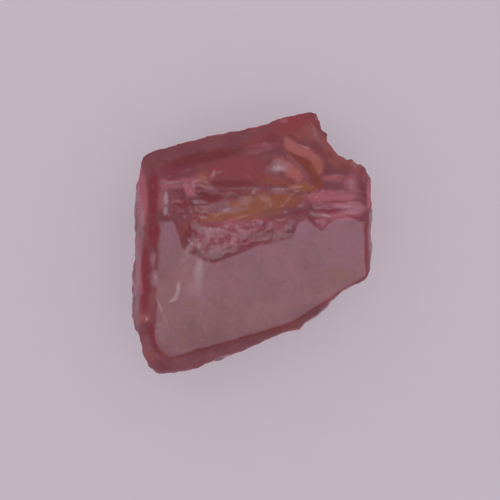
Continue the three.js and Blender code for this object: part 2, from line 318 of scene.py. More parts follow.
def inside_hollow(p, shaken, wander, hollow):
    """How far points are inside a hollow: their height over its mouth plus the depth of its bowl, which is
    depth (1 - share^steepness), where share is the square of the distance out in half-widths, with ripples
    round its bottom. Wander moves its mouth in and out."""
    at, tilt, heading, (down, left, right), depth, steepness, turn = hollow
    outward = direction(tilt, heading)
    fall_line = direction(tilt + 90, heading)
    level = np.cross(outward, fall_line)
    turn = math.radians(turn)
    offset = shaken - place(*at)
    a, b = offset @ fall_line, offset @ level
    a, b = a * math.cos(turn) + b * math.sin(turn), b * math.cos(turn) - a * math.sin(turn)
    share = (a / down) ** 2 + (b / np.where(b > 0, left, right)) ** 2
    rings = np.cos(np.sqrt(share) * max(down, left) * 2 * math.pi / RIPPLE_SPACING) * np.minimum(share, 1)
    bowl = 1 - (share * wander) ** steepness + RIPPLE_SHARE * rings
    return (p - place(*at)) @ outward + depth * bowl


# The parts of the relief, and of what makes lines uneven: for each, its depth and its width, in
# millimetres, and the seed of its noise or shells. Stairs take no seed. Wander, bends, wobble, their depths
# and raggedness are shares in place of depths.
RELIEF = {
    "edge drift in x": (0.06, 0.6, 11), "edge tremor in x": (0.03, 0.2, 21),
    "edge drift in y": (0.06, 0.6, 12), "edge tremor in y": (0.03, 0.2, 22),
    "wander of mouths": (0.5, 0.9, 31), "nicks": (0.014, 0.24, 32),
    "uneven ledge floors": (0.035, 0.4, 33), "frayed ledge edges": (0.02, 0.12, 34),
    "stair bends": (0.7, 0.7, 41), "stair wobble": (0.25, 0.2, 42), "stair depths": (0.3, 0.35, 43),
    "waviness": (0.016, 1.3, 51), "faint waves": (0.004, 0.4, 52), "growth lines": (0.004, 0.5, 65),
    "torn shells": (0.016, 0.13, 53), "torn stairs": (0.006, 0.2), "torn grain": (0.014, 0.1, 54),
    "torn lumps": (0.03, 0.28, 64), "wide stairs": (0.034, 0.17), "narrow stairs": (0.016, 0.085),
    "stair grain": (0.01, 0.09, 55), "stair lumps": (0.016, 0.22, 63), "streaks": (0.014, 0.12),
    "streak shells": (0.014, 0.12, 66), "streak lumps": (0.022, 0.26, 67),
    "large side shells": (0.07, 0.8, 56), "small side shells": (0.02, 0.25, 57),
    "slope waves": (0.008, 0.35, 58), "slope shells": (0.004, 0.3, 59), "etching": (0.003, 0.11, 60),
    "slow raggedness": (0.5, 0.4, 61), "fine raggedness": (0.4, 0.13, 62),
}


def relief(part, p, pattern=noise):
    """One part of the relief at each point: its depth times its pattern at its width."""
    depth, width, *seed = RELIEF[part]
    return depth * pattern(p, width, *seed)


# How much of the nicks the ledges' floors have, and how much of the fraying each axis has.
FLOOR_NICKS = 0.5
FRAYED_ALONG = (0.5, 1, 0)


def shaken_points(p):
    """The points moved by two sizes of noise, so that edges and mouths follow an uneven line."""
    moved = p.copy()
    moved[:, 0] += relief("edge drift in x", p) + relief("edge tremor in x", p)
    moved[:, 1] += relief("edge drift in y", p) + relief("edge tremor in y", p)
    return moved


def outside(p):
    """How far points are outside the stone, at least in sign: the largest of their heights over every face
    and rim, and of their depths in what each ledge and hollow takes away."""
    shaken = shaken_points(p)
    wander = 1 + relief("wander of mouths", p)
    nicked = relief("nicks", p)
    uneven = relief("uneven ledge floors", p) + FLOOR_NICKS * nicked
    edged = shaken + relief("frayed ledge edges", p)[:, None] * FRAYED_ALONG
    far = p[:, 2] - THICKNESS
    for face in TOP_FACES + STEEP_FACES:
        far = rounded_max(far, height_over(p, face) + nicked, face[3])
    far = rounded_max(far, outside_rim(shaken) + nicked, RIM_WORN)
    far = rounded_max(far, -p[:, 2], FOOT_WORN)
    for ledge in LEDGES.values():
        far = rounded_max(far, above_ledge(p, edged, uneven, ledge), LEDGE_WORN)
    for hollow in HOLLOWS.values():
        far = rounded_max(far, inside_hollow(p, shaken, wander, hollow), HOLLOW_WORN)
    return far


LID_LEAST = 0.5
RIM_SAMPLES = 8000


def lid_height(x, y):
    """The height of the lowest of the upper faces over each place in plan."""
    lowest = np.full(np.shape(x), THICKNESS)
    for through, tilt, heading, _ in TOP_FACES:
        at, out = place(*through), direction(tilt, heading)
        lowest = np.minimum(lowest, at[2] - ((x - at[0]) * out[0] + (y - at[1]) * out[1]) / out[2])
    return np.maximum(lowest, LID_LEAST * THICKNESS)


def rim_stretch(start, end, shares):
    """Points along the rim, anticlockwise from one corner to the next, each given as an angle, at those
    shares of the way."""
    end = end if end > start else end + 2 * math.pi
    angle = np.linspace(start, end, RIM_SAMPLES)
    points = np.stack([rim_radius(angle) * np.cos(angle), rim_radius(angle) * np.sin(angle)], axis=1)
    along = np.concatenate([[0], np.cumsum(np.linalg.norm(np.diff(points, axis=0), axis=1))])
    at = shares * along[-1]
    return np.stack([np.interp(at, along, points[:, 0]), np.interp(at, along, points[:, 1])], axis=1)


# The stone's four corners in plan, as (u, v), from which its grid is spanned.
GRID_CORNERS = {"lower left": (-0.87, -0.925), "lower right": (0.975, -0.24), "point": (0.54, 0.978),
                "upper left": (-0.883, 0.687)}
AROUND = 184
UP = 40
CROWDING = 0.3


def plan_grid():
    """A square grid of points in plan whose sides lie on the rim: between two opposite sides it is blended
    in proportion, once each way, less the same blend of the four corners (a Coons patch). Its rows crowd
    towards the top, where the surface is broken, as t + CROWDING t (1 - t)."""
    angles = [math.atan2(v * LENGTH, u * WIDTH) for u, v in GRID_CORNERS.values()]
    s = np.linspace(0, 1, AROUND + 1)
    t = s + CROWDING * s * (1 - s)
    low, right = rim_stretch(angles[0], angles[1], s), rim_stretch(angles[1], angles[2], t)
    top, left = rim_stretch(angles[2], angles[3], 1 - s), rim_stretch(angles[3], angles[0], 1 - t)
    s, t = s[:, None, None], t[None, :, None]
    across = (1 - t) * low[:, None] + t * top[:, None]
    along = (1 - s) * left[None] + s * right[None]
    corners = (1 - s) * ((1 - t) * low[0] + t * top[0]) + s * ((1 - t) * low[-1] + t * top[-1])
    return across + along - corners + (CENTRE_X, CENTRE_Y)


def wrapped_grid():
    """Points of a box whose plan is the plan grid and whose lid is the upper faces, and its four-sided
    faces, turned outwards: i and j count along the plan and k up the sides, and the box's edges are
    shared."""
    plan = plan_grid()
    lid = lid_height(plan[..., 0], plan[..., 1])
    span, rise = np.arange(AROUND + 1), np.arange(UP + 1)
    sheets = []
    for k, flip in ((UP, False), (0, True)):
        i, j = np.meshgrid(span, span, indexing="ij")
        sheets.append((i, j, np.full_like(i, k), flip))
    for side, flip in ((0, True), (AROUND, False)):
        j, k = np.meshgrid(span, rise, indexing="ij")
        sheets.append((np.full_like(j, side), j, k, flip))
        i, k = np.meshgrid(span, rise, indexing="ij")
        sheets.append((i, np.full_like(i, side), k, not flip))
    keys, quads = [], []
    for i, j, k, flip in sheets:
        key = (i * (AROUND + 1) + j) * (UP + 1) + k
        quad = np.stack([key[:-1, :-1], key[1:, :-1], key[1:, 1:], key[:-1, 1:]], axis=-1).reshape(-1, 4)
        keys.append(key.ravel())
        quads.append(quad[:, ::-1] if flip else quad)
    keys = np.unique(np.concatenate(keys))
    quads = np.searchsorted(keys, np.concatenate(quads))
    i, j, k = keys // ((AROUND + 1) * (UP + 1)), keys // (UP + 1) % (AROUND + 1), keys % (UP + 1)
    points = np.column_stack([plan[i, j], lid[i, j] * k / UP])
    return points, quads


def stone_surface():
    """The stone as points and four-sided faces: a ray goes out through every point of the wrapped grid,
    from a level disc inside, SPREAD times as wide as the stone, and halving the stretch between inside and
    outside finds where it leaves the stone."""
    targets, quads = wrapped_grid()
    starts = CENTRE + (targets - CENTRE) * (SPREAD, SPREAD, 0)
    rays = targets - starts
    rays /= np.linalg.norm(rays, axis=1, keepdims=True)
    near, far = np.zeros(len(rays)), np.full(len(rays), RAY_REACH)
    for _ in range(BISECTIONS):
        middle = (near + far) / 2
        out = outside(starts + rays * middle[:, None]) > 0
        far = np.where(out, middle, far)
        near = np.where(out, near, middle)
    return starts + rays * ((near + far) / 2)[:, None], quads


def smooth_step(low, high, x):
    """0 below low and 1 above high, and between them a curve with level ends, 3t^2 - 2t^3."""
    t = np.clip((x - low) / (high - low), 0, 1)
    return t * t * (3 - 2 * t)


def corner_normals(points, quads):
    """Each point's outward direction: the mean of those of the faces round it, by the size of the faces."""
    a, b, c, d = (points[quads[:, n]] for n in range(4))
    facing = np.cross(c - a, d - b)
    total = np.zeros_like(points)
    for n in range(4):
        np.add.at(total, quads[:, n], facing)
    return total / np.linalg.norm(total, axis=1, keepdims=True)


def in_shares(p):
    """The points' u, v and h."""
    return (p[:, 0] - CENTRE_X) * 2 / WIDTH, (p[:, 1] - CENTRE_Y) * 2 / LENGTH, p[:, 2] / THICKNESS


def band(x, starts, ends):
    """1 over a stretch that fades in over one range of x and fades out over another."""
    return smooth_step(*starts, x) * (1 - smooth_step(*ends, x))


# Where the fine relief begins and ends, as the ranges over which it does: across and along the stone (u and
# v), past the two ledges' edges (in millimetres), in height (h), and by how far a surface looks up, down or
# aside. Then how much calmer it is near the rim and where it rests, and how its patterns are stretched.
TORN_ACROSS = (-0.8, -0.7), (0.3, 0.45)
TORN_PAST_SHELF = (-0.02, 0.06)
TORN_PAST_STAIN = (0.02, 0.3)
STAIRS_ACROSS = (0.3, 0.42)
STAIRS_END = (0.42, 0.5)
STAIRS_PAST_SHELF = (-0.01, 0.04)
STREAKS_ACROSS = (-0.79, -0.74), (-0.42, -0.32)
STREAKS_ALONG = (0.16, 0.22), (0.45, 0.6)
SHELL_ACROSS = (-0.4, -0.3), (0.45, 0.55)
SHELL_BEGINS = (0.4, 0.44)
BREAKS_FROM = (0.7, 0.8)
FLAT_FACE_FROM = 0.985
LOOKS_UP = (0.94, 0.99)
LOOKS_DOWN = (0.97, 0.995)
LOOKS_ASIDE = (0.2, 0.7)
CALM_UNDER_RIM = 0.7
CALM_FROM = (0.55, 0.7)
CALM_AT_REST = 0.1
SMOOTH_ON_TOP = 0.6
STRETCHED_ACROSS = (0.5, 1, 1)
STRETCHED_ALONG = (1, 0.35, 1)
SPLINTERS = np.array([[0.5, -0.2, 0.0], [0.15, 1.0, 0.0], [0.0, 0.0, 0.6]])


def hackly_zone(p):
    """1 on the torn band between the two ledges' edges, fading out beyond both and towards the right."""
    u, v, h = in_shares(p)
    above = smooth_step(*TORN_PAST_SHELF, beyond_edge(p, LEDGES["shelf above the flat face"]["edge"]))
    below = 1 - smooth_step(*TORN_PAST_STAIN, beyond_edge(p, LEDGES["ledge under the stain"]["edge"]))
    return above * below * band(u, *TORN_ACROSS) * smooth_step(*BREAKS_FROM, h)


def terraced_zone(p):
    """1 on the close ledges right of the stain, above the flat face."""
    u, v, h = in_shares(p)
    above = smooth_step(*STAIRS_PAST_SHELF, beyond_edge(p, LEDGES["shelf above the flat face"]["edge"]))
    across = smooth_step(*STAIRS_ACROSS, u)
    return above * across * (1 - smooth_step(*STAIRS_END, v)) * smooth_step(*BREAKS_FROM, h)


def streaked_zone(p):
    """1 on the finely streaked break left of the smooth shell, above the flat face."""
    u, v, h = in_shares(p)
    return band(u, *STREAKS_ACROSS) * band(v, *STREAKS_ALONG) * smooth_step(*BREAKS_FROM, h)


# How much of a stair's step is its riser, how little of its depth a step keeps, and how the stairs lie: how
# far they follow x, y and z, and how they slant.
RISER = 0.22
STAIR_LEAST = 0.3
STAIR_LIE = (1, 0.3, 0.3)
STAIR_SLANT = 0.05


def terraces(p, spacing):
    """A stair cut into a slope: how far each point is below the slope, from 0 at the lip of a step to its
    depth at the foot of its riser, and evenly back to 0 over its tread. Each step has its own depth, from
    about 0.3 to 1."""
    along = p * STAIR_LIE
    t = (p[:, 1] + STAIR_SLANT * p[:, 0]) / spacing
    t += relief("stair bends", along) + relief("stair wobble", along)
    step = np.floor(t)
    part = t - step
    own = SLOPES[(step.astype(int) * 37) & 255, 0] ** 2
    depth = STAIR_LEAST + (1 - STAIR_LEAST) * own + relief("stair depths", along)
    return np.clip(depth, 0, 1) * np.where(part < RISER, part / RISER, (1 - part) / (1 - RISER))


def fine_relief(p, facing):
    """How far each point moves outwards, in millimetres: a slow waviness everywhere, torn scallops in the
    hackly zone, stairs in the terraced one, thin streaks left of the shell, larger scallops on the broken
    sides and back, and fine etching."""
    u, v, h = in_shares(p)
    up = smooth_step(*LOOKS_UP, facing[:, 2]) * (h > FLAT_FACE_FROM)
    calm = CALM_UNDER_RIM * smooth_step(*CALM_FROM, h)
    broken = (1 - smooth_step(*LOOKS_ASIDE, facing[:, 2])) * (1 - calm)
    resting = smooth_step(*LOOKS_DOWN, -facing[:, 2])
    shell = band(u, *SHELL_ACROSS) * smooth_step(*SHELL_BEGINS, v)
    slopes = (1 - up) * (1 - broken) * (1 - resting) * (1 - shell)
    move = relief("waviness", p) + relief("faint waves", p)
    move += up * relief("growth lines", p * STRETCHED_ALONG)
    torn = relief("torn shells", p @ SPLINTERS, scallops) + relief("torn stairs", p, terraces)
    move -= hackly_zone(p) * (torn + relief("torn grain", p) + relief("torn lumps", p))
    stairs = relief("wide stairs", p, terraces) + relief("narrow stairs", p + 5, terraces)
    stairs += relief("stair grain", p) + relief("stair lumps", p * STRETCHED_ACROSS)
    move -= terraced_zone(p) * stairs
    streaks = relief("streaks", p, terraces) + relief("streak shells", p * STRETCHED_ACROSS, scallops)
    move -= streaked_zone(p) * (streaks + relief("streak lumps", p))
    move -= broken * (relief("large side shells", p, scallops) + relief("small side shells", p, scallops))
    move += slopes * (relief("slope waves", p) - relief("slope shells", p, scallops))
    move += (1 - SMOOTH_ON_TOP * up) * relief("etching", p)
    return np.where(resting > 0.5, np.minimum(move * CALM_AT_REST, 0), move)


def finished_surface():
    """The stone's surface with its fine relief, kept on or above the level that it rests on."""
    points, quads = stone_surface()
    facing = corner_normals(points, quads)
    points = points + facing * fine_relief(points, facing)[:, None]
    points[:, 2] = np.maximum(points[:, 2], 0)
    return points, quads


def new_piece(name, points, faces):
    """A piece from its points, in millimetres, and its four-sided faces, smooth shaded."""
    mesh = bpy.data.meshes.new(name)
    mesh.vertices.add(len(points))
    mesh.vertices.foreach_set("co", (points * MM).astype(np.float32).ravel())
    mesh.loops.add(faces.size)
    mesh.loops.foreach_set("vertex_index", faces.astype(np.int32).ravel())
    mesh.polygons.add(len(faces))
    mesh.polygons.foreach_set("loop_start", np.arange(0, faces.size, 4, dtype=np.int32))
    mesh.update(calc_edges=True)
    mesh.validate()
    mesh.shade_smooth()
    piece = bpy.data.objects.new(name, mesh)
    bpy.context.collection.objects.link(piece)
    return piece


# Where the crystal's colour and finish change, and where light and shade are painted into its colour: to what
# colour, how softly, how far noise breaks it up, and its patches. A soft-edged patch is a place (u, v), its
# half-length and half-width in millimetres, its turn in degrees, and its strength. A facet, a stain or a
# painted shadow with edges is its strength and its outline, as a closed line of points (u, v).
PATCHES = {
    "bright_red": ("#a03a3e", 0.5, 1.2, [
        (0.38, 0.9, 0.62, 0.29, 14, 0.9), (0.09, 0.8, 0.57, 0.17, 20, 0.6),
        (-0.11, 0.57, 0.81, 0.33, 4, 0.75), (0.09, 0.49, 0.62, 0.14, 0, 0.7),
        (-0.26, 0.63, 0.72, 0.19, 8, 0.5), (0.28, 0.46, 0.38, 0.1, 0, 0.6),
        (-0.6, 0.54, 0.33, 0.14, 10, 0.4),
    ], []),
    "brown_red": ("#a35448", 0.5, 1.2, [
        (0.73, 0.63, 0.48, 0.22, -25, 0.8), (0.49, 0.83, 0.33, 0.17, -30, 0.8),
        (0.38, 0.81, 0.19, 0.1, -30, 0.8), (-0.39, 0.49, 0.22, 0.24, 0, 0.8),
        (-0.51, 0.13, 0.29, 0.19, 40, 0.6), (-0.43, 0.17, 0.17, 0.1, 10, 0.8),
        (-0.46, 0.24, 0.22, 0.14, 0, 0.7), (-0.83, -0.83, 0.29, 0.22, 0, 0.6),
        (0.59, 0.78, 0.12, 0.38, 35, 0.7), (-0.41, 0.57, 0.19, 0.14, 0, 0.5),
        (-0.75, -0.38, 0.12, 0.19, 0, 0.4), (0.16, 0.45, 0.48, 0.1, 0, 0.5),
        (0.24, 0.16, 0.24, 0.12, 8, 0.6), (-0.85, -0.44, 0.12, 0.24, 0, 0.5),
    ], []),
    "pale_rose": ("#bd6b78", 0.45, 1, [
        (-0.91, 0.33, 0.81, 0.14, 92, 0.8), (-0.93, -0.21, 1, 0.12, 92, 0.7),
        (0.79, 0.26, 0.53, 0.22, 0, 0.95), (0.58, 0.35, 0.48, 0.17, 0, 0.9),
        (0.84, 0.45, 0.22, 0.29, 0, 0.7), (-0.51, 0.4, 0.14, 0.19, 20, 0.9),
        (-0.539, 0.554, 0.14, 0.048, 10, 0.5), (0.98, 0.36, 0.05, 0.43, 0, 0.9),
        (0.87, 0.55, 0.14, 0.1, -30, 0.5), (0.76, 0.2, 0.53, 0.12, 0, 0.8),
        (0.58, 0.16, 0.19, 0.17, 0, 0.6), (-0.58, 0.45, 0.57, 0.12, 10, 0.65),
        (0.06, 0.72, 0.43, 0.12, 10, 0.6), (0.95, 0.49, 0.12, 0.14, 0, 0.5),
        (0.74, 0.35, 0.48, 0.14, 0, 0.9), (0.72, 0.49, 0.36, 0.11, 0, 0.6),
        (-0.11, 0.16, 0.53, 0.14, 8, 0.8), (-0.76, 0.36, 0.1, 0.48, 0, 0.6),
        (-0.75, 0.45, 0.14, 0.12, 0, 0.7), (0.19, 0.11, 0.33, 0.12, 8, 0.4),
        (-0.87, -0.76, 0.1, 0.24, 8, 0.5), (0.02, 0.1, 0.29, 0.14, 0, 0.5),
    ], []),
    "rose": ("#a34f5e", 0.6, 1.2, [
        (-0.26, 0.04, 0.67, 0.31, 5, 0.8), (-0.3, 0.13, 0.33, 0.12, 0, 0.7),
        (0.16, 0.16, 0.62, 0.17, 8, 0.6), (-0.39, 0.29, 0.24, 0.19, 0, 0.3),
        (-0.63, 0.28, 0.29, 0.29, 0, 0.4), (-0.11, 0.02, 0.81, 0.29, 6, 0.5),
        (0.59, -0.36, 0.38, 0.19, 35, 0.3), (0.63, 0.23, 0.19, 0.08, 0, 0.8),
        (0.56, 0.16, 0.14, 0.1, 0, 0.6), (0.66, 0.28, 0.29, 0.048, 0, 0.6),
    ], []),
    # Raspberry red: partly the stone's own colour, partly painted shade: thin dark lines along the ledges'
    # edges and the right rim.
    "raspberry_and_riser_shade": ("#8c1f3e", 0.45, 1, [
        (-0.78, 0.46, 0.38, 0.07, 90, 0.6), (-0.58, 0.59, 0.48, 0.14, 14, 0.9),
        (-0.68, 0.54, 0.33, 0.14, 10, 0.7), (0.409, 0.234, 0.33, 0.048, 12, 0.8),
        (0.702, 0.31, 0.48, 0.029, -3, 0.7), (0.95, 0.46, 0.14, 0.22, 0, 0.3),
        (0.06, 0.74, 0.72, 0.12, 12, 0.4), (-0.04, 0.01, 0.29, 0.12, 10, 0.8),
        (0.66, 0.25, 0.26, 0.1, 0, 0.9), (0.618, 0.227, 0.17, 0.06, 0, 0.7),
        (0.56, 0.16, 0.12, 0.1, 0, 0.5), (-0.65, 0.49, 0.24, 0.07, 0, 0.4),
        (0.702, 0.25, 0.33, 0.038, 3, 0.9), (0.878, 0.189, 0.22, 0.031, -10, 0.9),
        (0.493, 0.181, 0.22, 0.036, -52, 0.9), (-0.57, 0.3, 0.22, 0.12, 0, 0.5),
        (0.941, 0.356, 0.33, 0.038, 96, 0.6), (0.577, 0.379, 0.24, 0.029, -12, 0.7),
    ], []),
    # Deep red: the stone's saturated red, partly painted shade: the left bevel's dark band carried on past
    # where the bevel ends, a dark spot in the pit left of the torn band, and a dark line along the right rim.
    "deep_red": ("#8c1c34", 0.5, 0.7, [
        (-0.82, 0.34, 0.81, 0.12, 92, 1), (-0.81, 0.07, 0.41, 0.14, 90, 1),
        (-0.88, -0.22, 0.77, 0.12, 94, 1), (-0.9, -0.46, 0.29, 0.12, 90, 0.9),
        (-0.82, -0.7, 0.48, 0.07, 104, 0.9), (-0.774, -0.825, 0.22, 0.06, 125, 0.9),
        (-0.56, 0.3, 0.17, 0.1, 0, 0.9), (0.56, 0.14, 0.12, 0.14, 20, 0.5),
        (-0.72, 0.38, 0.08, 0.07, 0, 0.8), (-0.539, 0.349, 0.07, 0.048, 0, 0.5),
        (-0.631, 0.375, 0.12, 0.036, 0, 0.4), (-0.47, 0.11, 0.12, 0.12, 0, 0.8),
        (0.948, 0.021, 0.57, 0.043, 92, 0.6), (-0.61, 0.23, 0.29, 0.07, 0, 0.4),
        (-0.53, 0.04, 0.1, 0.19, -25, 0.5),
    ], []),
    # Dark garnet red: partly the stone's own deep red, partly painted shade: a cast shadow along the upper
    # left edge, and darker spots in the pit left of the torn band and on the torn band.
    "garnet_and_shade": ("#7e1c24", 0.45, 1.2, [
        (-0.14, 0.36, 0.29, 0.12, 0, 0.7), (-0.18, 0.45, 0.62, 0.1, 0, 0.8),
        (-0.39, 0.65, 0.96, 0.16, 10, 0.9), (0.11, 0.07, 0.43, 0.11, 8, 0.9),
        (-0.01, 0.17, 0.19, 0.07, 5, 0.5), (-0.5, 0.1, 0.29, 0.17, 60, 0.7),
        (0.652, 0.669, 0.1, 0.06, -20, 0.6), (0.91, 0.46, 0.12, 0.24, 0, 0.5),
        (-0.58, 0.02, 0.07, 0.12, -30, 0.6), (0.17, 0.8, 0.19, 0.12, 0, 0.5),
        (-0.04, 0.46, 0.43, 0.07, 0, 0.5), (0.79, 0.58, 0.19, 0.07, -30, 0.5),
    ], [
        (0.9, [
            (-0.43, 0.394), (-0.346, 0.406), (-0.245, 0.398), (-0.119, 0.394), (-0.128, 0.364),
            (-0.195, 0.341), (-0.262, 0.31), (-0.363, 0.299), (-0.421, 0.326), (-0.455, 0.356),
        ]),
        (0.7, [
            (0.291, 0.825), (0.338, 0.836), (0.384, 0.806), (0.417, 0.775), (0.447, 0.749), (0.409, 0.745),
            (0.367, 0.775), (0.325, 0.802),
        ]),
        (0.55, [
            (0.497, 0.783), (0.543, 0.775), (0.593, 0.73), (0.635, 0.688), (0.644, 0.638), (0.627, 0.592),
            (0.606, 0.63), (0.568, 0.672), (0.526, 0.699), (0.497, 0.722),
        ]),
    ]),
    # Painted shade: the flat face is coloured darker towards its lower and left edges and its lower corners,
    # as if less light reached them.
    "lower_edge_shade": ("#762428", 0.9, 0.3, [
        (-0.25, -0.57, 0.29, 0.86, 0, 0.65), (-0.39, -0.73, 1.1, 0.36, 12, 0.95),
        (-0.55, -0.71, 0.24, 0.38, 0, 0.9), (0.41, -0.53, 0.81, 0.19, 26, 0.8),
        (-0.39, -0.6, 0.81, 0.33, 0, 0.5), (0.59, -0.31, 0.33, 0.19, 35, 0.5),
        (-0.66, -0.34, 0.24, 0.53, 0, 0.35), (0.7, -0.27, 0.38, 0.24, 30, 0.6),
        (0.09, -0.66, 0.96, 0.24, 16, 0.9), (-0.66, -0.09, 0.22, 0.43, 0, 0.65),
        (0.56, -0.34, 0.33, 0.19, 40, 0.65), (0.46, -0.45, 0.19, 0.29, 20, 0.4),
        (-0.45, -0.59, 0.33, 0.29, 0, 0.5), (0.87, -0.27, 0.22, 0.17, 0, 0.5),
        (-0.71, -0.79, 0.19, 0.19, 0, 0.45),
    ], []),
    # Painted sheen: a lilac tint where the flat face's gloss is meant to look stronger, on its right part and
    # its left strip.
    "lilac": ("#90466a", 0.9, 0.3, [
        (0.76, -0.02, 0.48, 0.57, 0, 0.6), (-0.68, 0.02, 0.17, 0.53, 0, 0.5),
        (0.16, -0.06, 0.72, 0.19, 10, 0.4), (-0.19, -0.25, 0.43, 0.53, 0, 0.3),
        (0.43, 0.08, 0.29, 0.24, 0, 0.6), (0.24, -0.21, 0.72, 0.33, 0, 0.2),
    ], []),
    "salmon": ("#bc6b63", 0.6, 0.8, [
        (0.34, 0.54, 0.41, 0.2, -38, 0.95), (0.41, 0.47, 0.29, 0.1, -3, 0.4),
        (0.66, 0.49, 0.24, 0.07, 0, 0.7), (-0.32, 0.51, 0.06, 0.14, -20, 0.6),
        (-0.88, -0.57, 0.12, 0.22, 90, 0.6), (-0.13, 0.3, 0.29, 0.12, 0, 0.6),
        (0.06, 0.39, 0.67, 0.1, 0, 0.4), (0.2, 0.51, 0.29, 0.12, 0, 0.4),
    ], [
        (0.9, [
            (0.275, 0.806), (0.304, 0.813), (0.342, 0.79), (0.384, 0.76), (0.409, 0.737), (0.476, 0.733),
            (0.501, 0.707), (0.543, 0.68), (0.577, 0.653), (0.606, 0.619), (0.61, 0.577), (0.589, 0.524),
            (0.56, 0.509), (0.518, 0.57), (0.484, 0.615), (0.434, 0.642), (0.375, 0.653), (0.325, 0.676),
            (0.283, 0.703), (0.27, 0.76),
        ]),
        (0.6, [
            (0.266, 0.703), (0.308, 0.676), (0.358, 0.642), (0.4, 0.611), (0.434, 0.577), (0.472, 0.539),
            (0.497, 0.493), (0.484, 0.459), (0.434, 0.467), (0.375, 0.497), (0.325, 0.547), (0.312, 0.604),
            (0.287, 0.653),
        ]),
    ]),
    # Painted shade: the dark crescent wall between the smooth shell and the salmon facet, and dark brown
    # spots on the left band and the stain; the last outline is an orange-brown part of the stain.
    "crescent": ("#8f3620", 0.4, 0.4, [
        (0.49, 0.39, 0.12, 0.07, 45, 0.7), (0.42, 0.42, 0.33, 0.08, -4, 0.6),
        (0.57, 0.59, 0.14, 0.22, 35, 0.3), (-0.88, -0.19, 0.48, 0.07, 94, 0.5),
        (0.01, 0.2, 0.19, 0.07, 0, 0.5), (-0.4, 0.6, 0.1, 0.1, 0, 0.3),
    ], [
        (1, [
            (0.249, 0.718), (0.291, 0.71), (0.333, 0.695), (0.367, 0.672), (0.409, 0.665), (0.459, 0.642),
            (0.501, 0.619), (0.535, 0.57), (0.564, 0.509), (0.597, 0.467), (0.606, 0.425), (0.577, 0.402),
            (0.543, 0.425), (0.518, 0.44), (0.501, 0.493), (0.468, 0.535), (0.413, 0.592), (0.371, 0.632),
            (0.321, 0.667), (0.275, 0.695),
        ]),
        (1, [
            (0.56, 0.436), (0.522, 0.402), (0.488, 0.368), (0.472, 0.371), (0.501, 0.41), (0.535, 0.44),
        ]),
        (0.7, [
            (0.249, 0.364), (0.325, 0.375), (0.409, 0.379), (0.438, 0.341), (0.417, 0.295), (0.358, 0.272),
            (0.291, 0.28), (0.249, 0.318),
        ]),
    ]),
    "iron_stain": ("#a8603c", 0.6, 0.9, [
        (0.14, 0.3, 0.77, 0.26, 7, 0.85), (-0.25, 0.2, 0.48, 0.12, 8, 0.9),
        (-0.01, 0.23, 0.57, 0.17, 6, 0.85), (0.42, 0.42, 0.41, 0.13, -4, 0.9),
        (0.22, 0.47, 0.48, 0.1, 0, 0.45), (0.54, 0.57, 0.12, 0.22, 35, 0.6), (0.2, 0.23, 0.33, 0.1, 8, 0.7),
        (-0.88, -0.56, 0.12, 0.22, 0, 0.4), (-0.39, 0.46, 0.12, 0.17, 0, 0.4),
        (-0.55, 0.13, 0.19, 0.12, 30, 0.3), (-0.09, 0.28, 0.33, 0.14, 0, 0.7),
        (0.29, 0.33, 0.43, 0.14, 0, 0.8), (-0.02, 0.33, 0.22, 0.1, 0, 0.8),
    ], [
        (0.6, [
            (-0.052, 0.341), (0.048, 0.379), (0.157, 0.394), (0.291, 0.39), (0.409, 0.379), (0.434, 0.341),
            (0.409, 0.295), (0.358, 0.265), (0.275, 0.238), (0.191, 0.204), (0.09, 0.177), (-0.01, 0.177),
            (-0.069, 0.2), (-0.161, 0.189), (-0.254, 0.17), (-0.312, 0.154), (-0.379, 0.166),
            (-0.346, 0.196), (-0.287, 0.219), (-0.212, 0.23), (-0.145, 0.25), (-0.086, 0.28),
        ]),
    ]),
    "ochre": ("#8a4212", 0.9, 0.5, [
        (-0.01, 0.33, 0.17, 0.07, 0, 0.5), (-0.09, 0.25, 0.14, 0.07, 0, 0.45),
        (0.28, 0.33, 0.19, 0.07, 0, 0.45), (0.42, 0.4, 0.22, 0.07, 0, 0.4),
        (0.099, 0.356, 0.14, 0.06, 0, 0.3), (-0.51, -0.46, 0.14, 0.17, 0, 0.95),
        (-0.57, -0.73, 0.14, 0.33, 0, 0.5), (0.74, -0.24, 0.24, 0.17, 0, 0.9),
        (-0.05, -0.51, 0.62, 0.38, 0, 0.3), (0.09, -0.62, 0.57, 0.19, 10, 0.5),
        (-0.36, -0.5, 0.43, 0.19, 0, 0.2), (-0.82, -0.41, 0.1, 0.14, 0, 0.5),
        (0.66, -0.38, 0.24, 0.14, 40, 0.3), (-0.4, 0.46, 0.11, 0.14, 0, 0.5),
    ], []),
    # Soft pale smears: partly frosted haze, partly painted sheen: the glow round the bright spot in the
    # smooth shell, the pale strips along the left and right rims, and the upper rim of the smooth shell.
    "haze_and_sheen": ("#b58f98", 0.75, 0.5, [
        (-0.28, -0.06, 0.29, 0.1, 8, 0.35), (0.03, 0.1, 0.19, 0.1, 0, 0.3),
        (-0.13, 0.13, 0.19, 0.07, 0, 0.3), (0.2, 0.11, 0.19, 0.1, 0, 0.35),
        (-0.95, -0.44, 0.81, 0.1, 94, 0.4), (-0.92, 0.11, 0.43, 0.1, 92, 0.35),
        (0.983, 0.021, 0.48, 0.048, 92, 0.6), (-0.89, -0.78, 0.1, 0.22, 10, 0.35),
        (-0.44, -0.22, 0.57, 0.14, 87, 0.65), (-0.5, -0.34, 0.24, 0.14, 90, 0.4),
        (-0.8, -0.26, 0.24, 0.11, 90, 0.75), (-0.82, -0.13, 0.24, 0.07, 92, 0.6),
        (-0.51, -0.05, 0.22, 0.1, 62, 0.5), (0.23, 0.57, 0.29, 0.16, 5, 0.7),
        (0.12, 0.75, 0.14, 0.1, 10, 0.2), (-0.2, 0.25, 0.22, 0.07, 10, 0.5),
